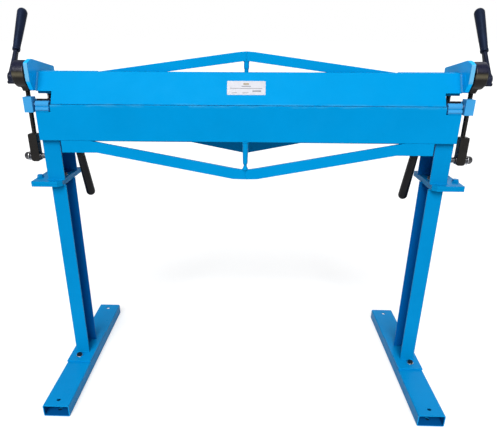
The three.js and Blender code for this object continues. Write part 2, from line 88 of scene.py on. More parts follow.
def middle(node):
    return (low(node) + high(node)) / 2


def pivot(joint):
    return Vector(JOINTS[joint]["pos_m"])


# ---------------------------------------------------------------- outlines

def rounded(points, radius, closed=True, steps=5):
    """A 2-D outline with its corners rounded. radius is one number, or one for each corner."""
    count = len(points)
    radii = radius if isinstance(radius, (list, tuple)) else [radius] * count
    corners = [Vector(p) for p in points]
    made = []
    for i, here in enumerate(corners):
        ends = not closed and i in (0, count - 1)
        if ends or radii[i] <= 0:
            made.append(here)
            continue
        before = corners[i - 1] - here
        after = corners[(i + 1) % count] - here
        reach = min(radii[i], before.length * 0.49, after.length * 0.49)
        a = here + before.normalized() * reach
        b = here + after.normalized() * reach
        for k in range(steps + 1):
            t = k / steps
            made.append(a.lerp(here, t).lerp(here.lerp(b, t), t))
    return made


def circle(radius, count, centre=(0, 0)):
    turns = (2 * math.pi * k / count for k in range(count))
    return [Vector((centre[0] + radius * math.cos(t), centre[1] + radius * math.sin(t))) for t in turns]


def thread(start, end, radius, pitch=1.5 * MM):
    """Profile points [along, radius] of a screw thread drawn as fine rings."""
    count = max(2, round((end - start) / pitch))
    step = (end - start) / count
    made = []
    for k in range(count):
        made.append((start + k * step, radius))
        made.append((start + (k + 0.5) * step, radius - pitch * 0.4))
    made.append((end, radius))
    return made


def rectangle(x0, x1, y0, y1):
    return [(x0, y0), (x1, y0), (x1, y1), (x0, y1)]


def stub(start, end, radius, soften):
    """Profile points [along, radius] of a plain round length with softened rims."""
    return rounded([(start, 0), (start, radius), (end, radius), (end, 0)], soften, False)


def dome(base, height, radius, steps, first=1):
    """Profile points of a rounded end that rises from base."""
    turns = (math.pi / 2 * k / steps for k in range(first, steps + 1))
    return [(base + height * math.sin(t), radius * math.cos(t)) for t in turns]


# ---------------------------------------------------------------- meshes

def axes_for(direction):
    """Two unit vectors square to a direction."""
    forward = Vector(direction).normalized()
    helper = Vector((1, 0, 0)) if abs(forward.x) < 0.9 else Vector((0, 0, 1))
    side = forward.cross(helper).normalized()
    return forward, side, forward.cross(side)


def rings_to_mesh(rings, closed_rings=False):
    """Joins rings of points into a skin, and caps both ends unless the rings close on themselves."""
    bm = bmesh.new()
    loops = [[bm.verts.new(p) for p in ring] for ring in rings]
    count = len(loops)
    for i in range(count if closed_rings else count - 1):
        a, b = loops[i], loops[(i + 1) % count]
        for j in range(len(a)):
            k = (j + 1) % len(a)
            bm.faces.new((a[j], a[k], b[k], b[j]))
    if not closed_rings:
        bm.faces.new(list(reversed(loops[0])))
        bm.faces.new(loops[-1])
    bmesh.ops.recalc_face_normals(bm, faces=bm.faces)
    return bm


def turned(profile, origin, direction, segments=40, ring=False):
    """A turned piece. The profile is [along, radius]; a ring's profile closes on itself."""
    forward, side, other = axes_for(direction)
    origin = Vector(origin)
    rings = []
    for along, radius in profile:
        centre = origin + forward * along
        rings.append([
            centre + (side * p.x + other * p.y) * max(radius, TINY) for p in circle(1, segments)
        ])
    return rings_to_mesh(rings, closed_rings=ring)


def bar(radius, start, end, soften=0.8 * MM, segments=40):
    """A round bar with softened ends."""
    start, end = Vector(start), Vector(end)
    length = (end - start).length
    return turned(stub(0, length, radius, soften), start, end - start, segments)


PLANES = {
    "x": (Vector((0, 1, 0)), Vector((0, 0, 1)), Vector((1, 0, 0))),
    "y": (Vector((1, 0, 0)), Vector((0, 0, 1)), Vector((0, 1, 0))),
    "z": (Vector((1, 0, 0)), Vector((0, 1, 0)), Vector((0, 0, 1))),
}


def prism(outline, axis, start, end, bevel=0.0):
    """An outline pushed along an axis, with its two rims bevelled."""
    u, v, w = PLANES[axis]
    rings = [[u * p[0] + v * p[1] + w * at for p in outline] for at in (start, end)]
    bm = rings_to_mesh(rings)
    if bevel:
        caps = [f for f in bm.faces if len(f.verts) == len(outline) and abs(f.normal.dot(w)) > 0.99]
        rims = {e for f in caps for e in f.edges}
        bmesh.ops.bevel(bm, geom=list(rims), offset=bevel, segments=2, profile=0.6, affect="EDGES")
    return bm


def mesh_of(name, bm):
    """Turns a working mesh into mesh data; the working mesh goes."""
    mesh = bpy.data.meshes.new(name)
    bm.to_mesh(mesh)
    bm.free()
    return mesh


def placed(name, data):
    """A new object in the scene."""
    obj = bpy.data.objects.new(name, data)
    bpy.context.scene.collection.objects.link(obj)
    return obj


def merged(*parts):
    """Several meshes as one."""
    whole = bmesh.new()
    for part in parts:
        mesh = mesh_of("part", part)
        whole.from_mesh(mesh)
        bpy.data.meshes.remove(mesh)
    return whole


def temporary(bm):
    return placed("temporary", mesh_of("temporary", bm))


def discard(obj):
    mesh = obj.data
    bpy.data.objects.remove(obj)
    bpy.data.meshes.remove(mesh)


def evaluated(obj):
    """The object's mesh with its modifiers applied; the object goes."""
    graph = bpy.context.evaluated_depsgraph_get()
    bm = bmesh.new()
    bm.from_object(obj, graph)
    discard(obj)
    return bm


def boolean(bm, operation, *others):
    """DIFFERENCE, UNION or INTERSECT of a mesh with others."""
    obj = temporary(bm)
    tools = [temporary(other) for other in others]
    for tool in tools:
        modifier = obj.modifiers.new("boolean", "BOOLEAN")
        modifier.operation = operation
        modifier.object = tool
        modifier.solver = "EXACT"
    bpy.context.view_layer.update()
    made = evaluated(obj)
    for tool in tools:
        discard(tool)
    return made


def cast(parts, voxel, smoothing=4):
    """Overlapping solids run together into one casting with soft inner corners."""
    obj = temporary(merged(*parts))
    remesh = obj.modifiers.new("remesh", "REMESH")
    remesh.mode = "VOXEL"
    remesh.voxel_size = voxel
    smooth = obj.modifiers.new("smooth", "SMOOTH")
    smooth.factor = 0.5
    smooth.iterations = smoothing
    bpy.context.view_layer.update()
    return evaluated(obj)


def swept(points, radius, sides=8, ripple=0.0, closed=False):
    """A round bead or wire along points. Ripple makes its radius rise and fall like a weld's."""
    points = [Vector(p) for p in points]
    count = len(points)
    normal = None
    rings = []
    for i, here in enumerate(points):
        ahead = points[(i + 1) % count] if closed or i < count - 1 else here
        behind = points[i - 1] if closed or i > 0 else here
        along = (ahead - behind).normalized()
        if normal is None:
            normal = axes_for(along)[1]
        normal = (normal - along * normal.dot(along)).normalized()
        other = along.cross(normal)
        wave = 1 + ripple * (0.6 * math.sin(i * 1.9) + random.uniform(-0.5, 0.5))
        if not closed and i in (0, count - 1):
            wave *= 0.5
        ring = circle(radius * wave, sides)
        rings.append([here + normal * p.x + other * p.y for p in ring])
    return rings_to_mesh(rings, closed_rings=closed)


def stepped(corners, step):
    """Points every step along a line through corners."""
    corners = [Vector(c) for c in corners]
    made = []
    for a, b in zip(corners, corners[1:]):
        count = max(1, round((b - a).length / step))
        made.extend(a.lerp(b, k / count) for k in range(count))
    made.append(corners[-1])
    return made


# ---------------------------------------------------------------- materials

class Surface:
    """A principled material and short ways to add nodes to it. Patterns follow the object's own frame."""

    def __init__(self, name="", material=None):
        """A new material, or one already made, to add nodes to."""
        self.material = material or bpy.data.materials.new(name)
        self.material.use_nodes = True
        self.tree = self.material.node_tree
        self.shader = self.tree.nodes["Principled BSDF"]
        self.place = self.add("ShaderNodeTexCoord").outputs["Object"]

    def add(self, kind, **settings):
        node = self.tree.nodes.new(kind)
        for key, value in settings.items():
            setattr(node, key, value)
        return node

    def link(self, source, target):
        self.tree.links.new(source, target)

    def drive(self, target, source):
        """Links a socket to one of the shader's inputs."""
        self.link(source, self.shader.inputs[target])

    def repaint(self, factor, colour):
        """Lays a colour over the base colour that is already linked."""
        before = self.shader.inputs["Base Color"].links[0].from_socket
        self.drive("Base Color", self.mix(factor, before, colour))

    def set(self, **values):
        for key, value in values.items():
            self.shader.inputs[key.replace("_", " ")].default_value = value

    def noise(self, scale, detail=3.0, roughness=0.5, stretch=None):
        node = self.add("ShaderNodeTexNoise")
        node.inputs["Scale"].default_value = scale
        node.inputs["Detail"].default_value = detail
        node.inputs["Roughness"].default_value = roughness
        place = self.place
        if stretch:
            mapping = self.add("ShaderNodeMapping")
            mapping.inputs["Scale"].default_value = stretch
            self.link(place, mapping.inputs["Vector"])
            place = mapping.outputs["Vector"]
        self.link(place, node.inputs["Vector"])
        return node.outputs["Fac"]

    def ramp(self, source, *stops):
        """Stops are (position, grey or colour)."""
        node = self.add("ShaderNodeValToRGB")
        elements = node.color_ramp.elements
        while len(elements) < len(stops):
            elements.new(0.5)
        for element, (position, value) in zip(elements, stops):
            element.position = position
            element.color = (*value, 1) if isinstance(value, tuple) else (value, value, value, 1)
        self.link(source, node.inputs["Fac"])
        return node.outputs["Color"]

    def patches(self, noise, start, end, least=0.0, most=1.0):
        """Noise of a (scale, detail, roughness), at its least up to start and at its most from end."""
        return self.ramp(self.noise(*noise), (start, least), (end, most))

    def mix(self, factor, a, b, blend="MIX"):
        """Two colours mixed. Sockets 6, 7 and 2 are the node's colour inputs and its colour output."""
        node = self.add("ShaderNodeMix", data_type="RGBA", blend_type=blend)
        for socket, value in ((node.inputs["Factor"], factor), (node.inputs[6], a), (node.inputs[7], b)):
            if isinstance(value, bpy.types.NodeSocket):
                self.link(value, socket)
            elif isinstance(value, tuple):
                socket.default_value = (*value, 1)
            else:
                socket.default_value = value
        return node.outputs[2]

    def scaled(self, source, amount):
        """A grey socket times a number."""
        node = self.add("ShaderNodeMath", operation="MULTIPLY")
        node.inputs[1].default_value = amount
        self.link(source, node.inputs[0])
        return node.outputs[0]

    def height_mask(self, axis, start, end):
        """0 below start and 1 above end along one axis of the object's frame."""
        split = self.add("ShaderNodeSeparateXYZ")
        self.link(self.place, split.inputs[0])
        node = self.add("ShaderNodeMapRange")
        node.inputs["From Min"].default_value = start
        node.inputs["From Max"].default_value = end
        self.link(split.outputs[axis], node.inputs["Value"])
        return node.outputs["Result"]

    def bump(self, *layers):
        """Layers are (height socket, strength, distance), one on another."""
        normal = None
        for source, strength, distance in layers:
            node = self.add("ShaderNodeBump")
            node.inputs["Strength"].default_value = strength
            node.inputs["Distance"].default_value = distance
            self.link(source, node.inputs["Height"])
            if normal is not None:
                self.link(normal, node.inputs["Normal"])
            normal = node.outputs["Normal"]
        self.drive("Normal", normal)


SHEEN = (0.04, 0.55, 1.0, 1)     # the blue enamel's highlights keep its own hue


def enamel(name, colour, deep, dust=0.12):
    """Sprayed gloss enamel: drifts of tone, orange peel, dust specks and dulled patches."""
    s = Surface(name)
    drift = s.patches((5.0, 4.0, 0.6), 0.35, 0.68)
    tone = s.mix(drift, colour, deep)
    specks = s.patches((420.0, 2.0, 0.6), 0.66, 0.74)
    clouds = s.patches((14.0, 5.0, 0.65), 0.48, 0.75, most=dust)
    dusty = s.mix(clouds, tone, tuple(0.8 * c + 0.2 * g for c, g in zip(colour, (0.03, 0.35, 0.60))))
    s.drive("Base Color", s.mix(s.scaled(specks, 0.08), dusty, (0.04, 0.30, 0.50)))
    s.drive("Roughness", s.patches((22.0, 5.0, 0.6), 0.30, 0.72, 0.26, 0.42))
    s.set(IOR=1.4, Specular_IOR_Level=0.13, Specular_Tint=SHEEN)
    s.bump((s.noise(260.0, 2.0, 0.5), 0.10, 0.0006), (s.noise(26.0, 2.0, 0.5), 0.10, 0.002))
    return s.material


def rubbed_enamel(name, colour, deep, axis, start, end, bare=0.55):
    """Enamel worn thin in a band along one axis, such as a working edge."""
    material = enamel(name, colour, deep)
    s = Surface(material=material)
    band = s.height_mask(axis, start, end)
    broken = s.ramp(s.noise(60.0, 6.0, 0.7, (0.25, 1.0, 1.0)), (0.46, 0.0), (0.62, 1.0))
    worn = s.scaled(s.mix(1.0, band, broken, "MULTIPLY"), bare)
    s.repaint(worn, (0.05, 0.30, 0.52))
    return material


def part_painted(name, colour, deep, other, *bands):
    """Enamel that turns to another colour where every band, (axis, start, end), is past its end."""
    material = enamel(name, colour, deep)
    s = Surface(material=material)
    inside = (1.0, 1.0, 1.0)
    for band in bands:
        inside = s.mix(1.0, inside, s.height_mask(*band), "MULTIPLY")
    s.repaint(inside, other)
    return material


def black_casting(name, colour, rough, tint=(1, 1, 1, 1), level=0.4, pebble=0.22, dust=0.25):
    """Black enamel over a sand casting: a pebbled skin, with drifts of tone and dust."""
    s = Surface(name)
    drift = s.patches((40.0, 4.0, 0.6), 0.4, 0.7)
    tone = s.mix(drift, colour, tuple(c * 1.7 + 0.001 for c in colour))
    dusty = s.patches((120.0, 5.0, 0.7), 0.58, 0.8, most=dust)
    s.drive("Base Color", s.mix(dusty, tone, (0.05, 0.05, 0.055)))
    s.drive("Roughness", s.patches((70.0, 4.0, 0.6), 0.3, 0.75, rough - 0.08, rough + 0.12))
    s.set(IOR=1.5, Specular_IOR_Level=level, Specular_Tint=tint)
    s.bump((s.noise(520.0, 3.0, 0.6), pebble, 0.0005), (s.noise(110.0, 2.0, 0.5), pebble * 0.5, 0.0010))
    return s.material


def metal(name, colour, rough):
    """Bare or plated steel: fine scratches, blotches of plating, a little grime."""
    s = Surface(name)
    blotch = s.patches((60.0, 4.0, 0.6), 0.35, 0.7)
    tone = s.mix(blotch, colour, tuple(c * 0.78 for c in colour))
    grime = s.patches((190.0, 5.0, 0.7), 0.55, 0.78, most=0.5)
    s.drive("Base Color", s.mix(grime, tone, tuple(c * 0.4 for c in colour)))
    s.drive("Roughness", s.patches((300.0, 3.0, 0.6), 0.3, 0.7, rough - 0.1, rough + 0.12))
    s.set(Metallic=1.0)
    s.bump((s.noise(900.0, 2.0, 0.5), 0.15, 0.0003))
    return s.material


def moulded(name, colour, sheen, tint, rough=0.34):
    """Moulded plastic: a fine sparked texture, finger polish in patches, dust in the grain."""
    s = Surface(name)
    tone = s.mix(s.patches((18.0, 3.0, 0.5), 0.35, 0.7), colour, sheen)
    dust = s.patches((300.0, 4.0, 0.7), 0.6, 0.82, most=0.2)
    s.drive("Base Color", s.mix(dust, tone, (0.06, 0.06, 0.07)))
    s.drive("Roughness", s.patches((30.0, 4.0, 0.6), 0.35, 0.7, rough, rough + 0.16))
    s.set(IOR=1.5, Specular_IOR_Level=0.2, Specular_Tint=tint)
    s.bump((s.noise(1400.0, 2.0, 0.5), 0.16, 0.0003), (s.noise(160.0, 2.0, 0.5), 0.05, 0.0006))
    return s.material


def printed(name, colour, rough=0.35):
    """Printed vinyl, very slightly uneven."""
    s = Surface(name)
    mottle = s.patches((90.0, 3.0, 0.5), 0.3, 0.7)
    s.drive("Base Color", s.mix(mottle, colour, tuple(c * 0.93 for c in colour)))
    s.drive("Roughness", s.patches((200.0, 2.0, 0.5), 0.3, 0.7, rough - 0.05, rough + 0.1))
    s.bump((s.noise(700.0, 2.0, 0.5), 0.05, 0.0002))
    return s.material


# BLUE is the enamel itself. The foot, beam, leaf and truss blues are copies of it made lighter part by part:
# painted light for how the light falls on each part.
BLUE = (0.0003, 0.200, 0.465)
BLUE_DEEP = (0.0002, 0.182, 0.43)
LIT_FOOT_BLUE = (0.0004, 0.222, 0.53)
LIT_FOOT_BLUE_DEEP = (0.0003, 0.202, 0.49)
LIT_BEAM_BLUE = (0.0002, 0.236, 0.535)
LIT_BEAM_BLUE_DEEP = (0.0001, 0.222, 0.505)
LIT_LEAF_BLUE = (0.0002, 0.221, 0.510)
LIT_LEAF_BLUE_DEEP = (0.0001, 0.206, 0.475)
LIT_TRUSS_BLUE = (0.0005, 0.240, 0.54)
LIT_TRUSS_BLUE_DEEP = (0.0004, 0.220, 0.50)
# The cheek blue is the enamel made far lighter: painted light against the shade on the cheeks' sides.
LIT_CHEEK_BLUE = (0.0009, 0.44, 0.94)
LIT_CHEEK_BLUE_DEEP = (0.0007, 0.42, 0.90)
# The highlight blue is a lighter, greyer blue: a painted highlight for rounded and lit edges.
HIGHLIGHT_BLUE = (0.050, 0.275, 0.560)
HIGHLIGHT_BLUE_DEEP = (0.030, 0.245, 0.520)
# The shaded blue is painted shade for the insides of the channels.
SHADED_BLUE = (0.0002, 0.115, 0.39)
# The tube-inside blue is painted shade for the insides of the foot tubes.
TUBE_INSIDE_SHADE_BLUE = (0.0004, 0.075, 0.26)
NOSE_Z = low("beam_face").z
LEAF_TOP = high("leaf_plate").z

LINK_CASTING = ((0.005, 0.0045, 0.0042), 0.28, (1, 0.97, 0.93, 1), 0.26, 0.10, 0.12)
LOOKS = {
    "foot_paint": enamel("foot_paint", LIT_FOOT_BLUE, LIT_FOOT_BLUE_DEEP, 0.16),
    "stand_paint": enamel("stand_paint", BLUE, BLUE_DEEP),
    "frame_paint": enamel("frame_paint", BLUE, BLUE_DEEP),
    "bed_surface": rubbed_enamel("bed_surface", BLUE, BLUE_DEEP, "Y", 0.0, -0.035),
    "leaf_paint": rubbed_enamel("leaf_paint", LIT_LEAF_BLUE, LIT_LEAF_BLUE_DEEP, "Z", LEAF_TOP - 0.008, LEAF_TOP),
    "beam_paint": rubbed_enamel("beam_paint", LIT_BEAM_BLUE, LIT_BEAM_BLUE_DEEP, "Z", NOSE_Z + 0.006, NOSE_Z),
    "black_bolts": metal("black_bolts", (0.05, 0.05, 0.055), 0.42),
    "zinc_bolts": metal("zinc_bolts", (0.66, 0.67, 0.69), 0.28),
    "pivot_steel": metal("pivot_steel", (0.16, 0.16, 0.17), 0.26),
    "spring_steel": metal("spring_steel", (0.07, 0.07, 0.075), 0.35),
    "clamp_steel": black_casting("clamp_steel", (0.004, 0.006, 0.017), 0.34, (0.8, 0.85, 1.0, 1), 0.27),
    "link_steel": black_casting("link_steel", *LINK_CASTING),
    "lever_grips": moulded("lever_grips", (0.006, 0.009, 0.022), (0.009, 0.015, 0.040), (0.4, 0.6, 1.0, 1)),
    "bending_grips": moulded("bending_grips", (0.003, 0.003, 0.0033), (0.006, 0.006, 0.0065),
                             (0.9, 0.9, 1.0, 1), 0.24),
}
HIGHLIGHT_LOOK = enamel("painted_highlight_paint", HIGHLIGHT_BLUE, HIGHLIGHT_BLUE_DEEP, 0.2)
CHEEK_FRONT = low("beam_cheek_left").y
# The cheeks' front faces take a greyer light blue: a painted reflection.
CHEEK_FRONT_REFLECTION_BAND = ("Y", CHEEK_FRONT + mm(3), CHEEK_FRONT + mm(1.2))
CHEEK_LIGHT_AND_REFLECTION_LOOK = part_painted("cheek_painted_light", LIT_CHEEK_BLUE, LIT_CHEEK_BLUE_DEEP, (0.11, 0.38, 0.62), CHEEK_FRONT_REFLECTION_BAND)
LIT_TRUSS_LOOK = enamel("lit_truss_paint", LIT_TRUSS_BLUE, LIT_TRUSS_BLUE_DEEP)
DULL_STEEL = metal("dull_steel", (0.07, 0.07, 0.08), 0.35)
BRIGHT_STEEL = metal("bright_steel", (0.72, 0.72, 0.73), 0.3)


# ---------------------------------------------------------------- pieces

# A body and the material slot of its painted parts.
STAND_PAINTED = ("frame", "stand_paint")
FRAME_PAINTED = ("frame", "frame_paint")
LEAF_PAINTED = ("leaf", "leaf_paint")
BEAM_PAINTED = ("beam", "beam_paint")


def piece(name, bm, body, slot, *nodes, look=None, angle=32, bevelled=False):
    """Makes an object, rides it on its body (if it has one) and says which CAD nodes it replaces."""
    mesh = mesh_of(name, bm)
    mesh.shade_smooth()
    mesh.set_sharp_from_angle(angle=math.radians(angle))
    obj = placed(name, mesh)
    obj.data.materials.append(look or LOOKS[slot])
    if bevelled:
        modifier = obj.modifiers.new("weighted normals", "WEIGHTED_NORMAL")
        modifier.keep_sharp = True
        modifier.weight = 100
    if body:
        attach(obj, body)
    if nodes:
        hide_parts(*nodes)
    return obj


def body_of(node):
    bodies = frame["record"]["behaviour"]["bodies"]
    return next(body for body, members in bodies.items() if node in members)


def slot_of(node):
    return next(s["material_slot"] for s in frame["record"]["subparts"] if s["node"] == node)


def refined(node, width, look=None):
    """The CAD node's own shape with its edges rounded over."""
    bm = bmesh.new()
    bm.from_mesh(NODES[node].data)
    bmesh.ops.remove_doubles(bm, verts=bm.verts, dist=TINY)
    bmesh.ops.dissolve_limit(bm, angle_limit=math.radians(1), verts=bm.verts, edges=bm.edges)
    edges = [e for e in bm.edges if e.is_manifold and e.calc_face_angle() > math.radians(30)]
    bmesh.ops.bevel(bm, geom=edges, offset=width, segments=3, profile=0.6, affect="EDGES",
                    clamp_overlap=True)
    return piece(node + "_skin", bm, body_of(node), slot_of(node), node, look=look, bevelled=True)


def weld(name, corners, radius, body, slot, look=None):
    """A painted weld bead along a joint."""
    points = stepped(corners, radius * 0.45)
    return piece(name, swept(points, radius, 8, 0.16), body, slot, look=look, angle=60)


def ring_weld(name, centre, z, radius, bead, body, slot, count):
    """A painted weld bead round the end of a strut."""
    points = [(centre.x + p.x, centre.y + p.y, z) for p in circle(radius, count)]
    piece(name, swept(points, bead, 8, 0.15, True), body, slot, angle=60)


def hexagon(across, height, origin, direction, both_ends=False):
    """A hexagon head or nut with its corners chamfered."""
    corner = across / math.sqrt(3)
    blank = turned([(0, corner), (height, corner)], origin, direction, 6)
    trim = across * 0.5
    depth = (corner - trim) * 0.58
    start = [(-MM, 0), (-MM, trim - 0.3 * MM), (0, trim)] if both_ends else [(-MM, 0), (-MM, corner * 1.1)]
    profile = start + ([(depth, corner + 0.2 * MM)] if both_ends else [])
    profile += [(height - depth, corner + 0.2 * MM), (height, trim), (height, 0)]
    return boolean(blank, "INTERSECT", turned(profile, origin, direction, 48))


def washer(outer, inner, thickness, origin, direction):
    soft = thickness * 0.25
    profile = rounded([(0, inner), (thickness, inner), (thickness, outer), (0, outer)], soft, True, 3)
    return turned(profile, origin, direction, 48, ring=True)


# ---- stand ----

TUBE_WALL = mm(4)
CHANNEL_WALL = mm(6)
ANCHOR_RADIUS = mm(7.2)
ANCHOR_INSET = mm(31)            # from the end of a foot to the middle of its anchor hole


def anchor_places(side):
    """The middles of a foot's two anchor holes, at floor level."""
    node = f"foot_tube_{side}"
    x = middle(node).x
    return [(x, y, 0) for y in (low(node).y + ANCHOR_INSET, high(node).y - ANCHOR_INSET)]


def foot_tube(side):
    """A square-cut hollow section with rounded corners and an anchor hole near each end."""
    node = f"foot_tube_{side}"
    a, b = low(node), high(node)

    def loop(inset, radius):
        return rounded(rectangle(a.x + inset, b.x - inset, a.z + inset, b.z - inset), radius, True, 6)

    outer = loop(0, mm(6))
    inner = loop(TUBE_WALL, mm(3))
    edge = mm(0.6)
    ends = [(outer, a.y + edge), (loop(edge, mm(5.5)), a.y), (loop(TUBE_WALL - edge, mm(3.5)), a.y),
            (inner, a.y + edge), (inner, b.y - edge), (loop(TUBE_WALL - edge, mm(3.5)), b.y),
            (loop(edge, mm(5.5)), b.y), (outer, b.y - edge)]
    rings = [[Vector((p.x, y, p.y)) for p in outline] for outline, y in ends]
    tube = rings_to_mesh(rings, closed_rings=True)
    holes = [bar(ANCHOR_RADIUS, (x, y, a.z - mm(10)), (x, y, b.z + mm(10)))
             for x, y, _ in anchor_places(side)]
    tube = boolean(tube, "DIFFERENCE", merged(*holes))
    # The tube's inside faces turn to a dark blue: painted shade.
    wall, soft = TUBE_WALL - mm(0.2), mm(0.8)
    bands = (("X", a.x + wall - soft, a.x + wall), ("X", b.x - wall + soft, b.x - wall),
             ("Z", a.z + wall - soft, a.z + wall), ("Z", b.z - wall + soft, b.z - wall))
    look = part_painted(node + "_paint", LIT_FOOT_BLUE, LIT_FOOT_BLUE_DEEP, TUBE_INSIDE_SHADE_BLUE, *bands)
    piece(f"foot_{side}", tube, "frame", "foot_paint", node, look=look, bevelled=True)


def channel(node, corner):
    """A folded channel that opens towards the middle of the machine, its inside faces painted darker as painted
    shade.
    """
    a, b = low(node), high(node)
    sign = 1 if a.x > 0 else -1
    outer, inner = (b.x, a.x) if sign > 0 else (a.x, b.x)
    web = outer - sign * CHANNEL_WALL
    outline = [(inner, a.y), (outer, a.y), (outer, b.y), (inner, b.y),
               (inner, b.y - CHANNEL_WALL), (web, b.y - CHANNEL_WALL),
               (web, a.y + CHANNEL_WALL), (inner, a.y + CHANNEL_WALL)]
    tip, bend = mm(1.5), mm(2.5)
    shape = rounded(outline, [tip, corner, corner, tip, tip, bend, bend, tip])
    # The inside faces turn to the shaded blue: painted shade.
    across = ("X", web + sign * mm(1), web)
    along = ("Y", a.y + CHANNEL_WALL - mm(1), a.y + CHANNEL_WALL)
    look = part_painted(node + "_paint", BLUE, BLUE_DEEP, SHADED_BLUE, across, along)
    folded = prism(shape, "z", a.z, b.z, mm(0.5))
    piece(node + "_skin", folded, "frame", slot_of(node), node, look=look, bevelled=True)
    return a, b


def channel_welds(name, a, b, z, radius):
    """Fillet welds round the outside of a channel's foot or head."""
    sign = 1 if a.x > 0 else -1
    outer, inner = (b.x, a.x) if sign > 0 else (a.x, b.x)
    path = [(inner, a.y, z), (outer, a.y, z), (outer, b.y, z), (inner, b.y, z)]
    weld(name, path, radius, *STAND_PAINTED)


def through_bolt(node, slot, head_look=None):
    """Bolt, two washers and nut through a stack of plates along Z."""
    a, b = low(node), high(node)
    x, y = middle(node).x, middle(node).y
    radius, rim, across = mm(6), mm(12), mm(17.5)
    head = radius * 1.3
    seat = b.z - head
    nut_height = radius * 1.6
    nut_top = a.z + radius * 2.6
    washers = [
        washer(rim, radius + mm(0.4), mm(2), (x, y, seat), UP),
        washer(rim, radius + mm(0.4), mm(1.8), (x, y, nut_top - mm(2.2)), UP),
    ]
    parts = [
        hexagon(across, head - mm(2) + mm(1.5), (x, y, seat + mm(2)), UP),
        hexagon(across, nut_height - mm(1), (x, y, nut_top - nut_height - mm(1.3)), UP, both_ends=True),
        turned([(0, radius * 0.7), (mm(1), radius - mm(0.3)), *thread(mm(1.4), mm(9), radius),
                (seat - a.z, radius - mm(0.2))], (x, y, a.z), UP, 24),
    ]
    piece(node + "_set", merged(*parts), "frame", slot, node, look=head_look)
    washer_look = head_look if head_look is LOOKS["frame_paint"] else BRIGHT_STEEL
    piece(node + "_washers", merged(*washers), "frame", slot, look=washer_look)


def build_stand():
    for side, _ in SIDES:
        foot_tube(side)
        refined(f"foot_plate_{side}", mm(1.4))
        refined(f"stand_top_plate_{side}", mm(1.2))
        refined(f"leg_base_plate_{side}", mm(1.6))
        a, b = channel(f"stand_post_{side}", mm(5))
        channel_welds(f"post_foot_weld_{side}", a, b, a.z, mm(2.6))
        channel_welds(f"post_head_weld_{side}", a, b, b.z, mm(2.4))
        a, b = channel(f"machine_leg_{side}", mm(5))
        channel_welds(f"leg_foot_weld_{side}", a, b, a.z, mm(2.6))
        channel_welds(f"leg_head_weld_{side}", a, b, b.z, mm(2.2))
        for where in ("front", "rear"):
            through_bolt(f"foot_bolt_{where}_{side}", "black_bolts")
        through_bolt(f"joint_bolt_outer_{side}", "black_bolts", LOOKS["frame_paint"])
        through_bolt(f"joint_bolt_inner_{side}", "zinc_bolts", DULL_STEEL)


# ---- bed and hinges ----

FILLET = mm(2.4)

def build_bed():
    refined("bed_table", mm(1.2))
    refined("bed_front_rail", mm(1.0))
    refined("bed_web", mm(1.0))
    under = low("bed_table").z
    web_low, web_high = low("bed_web"), high("bed_web")
    rail_low, rail_high = low("bed_front_rail"), high("bed_front_rail")
    inset = mm(8)
    for name, y in (("front", web_low.y), ("rear", web_high.y)):
        path = [(web_low.x + inset, y, under), (web_high.x - inset, y, under)]
        weld(f"bed_web_weld_{name}", path, FILLET, *FRAME_PAINTED)
    path = [(rail_low.x + inset, rail_high.y, under), (rail_high.x - inset, rail_high.y, under)]
    weld("bed_rail_weld", path, FILLET, *FRAME_PAINTED)
    for side, sign in SIDES:
        refined(f"hinge_block_{side}", mm(1.6), look=hinge_block_light_and_shade_look(side, sign))
        edge = high("bed_table").x * sign + sign * mm(0.4)
        z = high("bed_table").z - mm(0.6)
        path = [(edge, high(f"hinge_block_{side}").y - mm(3), z), (edge, -mm(11), z)]
        weld(f"hinge_block_weld_{side}", path, mm(1.8), *FRAME_PAINTED)
        hinge_pin(side)


def hinge_block_light_and_shade_look(side, sign):
    """The block in the highlight blue, a painted highlight; the key that runs in behind the knuckle near-black,
    painted shade from the beam above.
    """
    end = sign * (high("bed_table").x + mm(1.5))
    band = ("X", end, end - sign * mm(1))
    # Painted highlight blue on the block; near-black painted shade on the key.
    return part_painted(f"hinge_block_painted_light_{side}", HIGHLIGHT_BLUE, HIGHLIGHT_BLUE_DEEP, (0.012, 0.013, 0.016), band)


def hinge_pin(side):
    node = f"hinge_pin_{side}"
    a, b = low(node), high(node)
    centre = middle(node)
    radius = (b.z - a.z) / 2
    start, end = (a.x, centre.y, centre.z), (b.x, centre.y, centre.z)
    piece(node + "_bar", bar(radius, start, end, mm(1.2)), "frame", "zinc_bolts", node)


# ---- leaf ----

def build_leaf():
    refined("leaf_plate", mm(1.8))
    for side, sign in SIDES:
        refined(f"leaf_truss_{side}", mm(1.2))
        truss_low, truss_high = low(f"leaf_truss_{side}"), high(f"leaf_truss_{side}")
        outer = max(abs(truss_low.x), abs(truss_high.x))
        y, z = truss_high.y, low("leaf_plate").z
        path = [(sign * (outer - mm(4)), y, z), (sign * mm(500), y, z)]
        weld(f"leaf_truss_weld_{side}", path, FILLET, *LEAF_PAINTED)
        knuckle(side)
        bending_handle(side)
    leaf_strut()
    corner = low("leaf_truss_left")
    path = [(0, corner.y, corner.z + mm(2)), (0, corner.y, corner.z + mm(30))]
    weld("leaf_truss_mitre", path, mm(1.3), *LEAF_PAINTED)


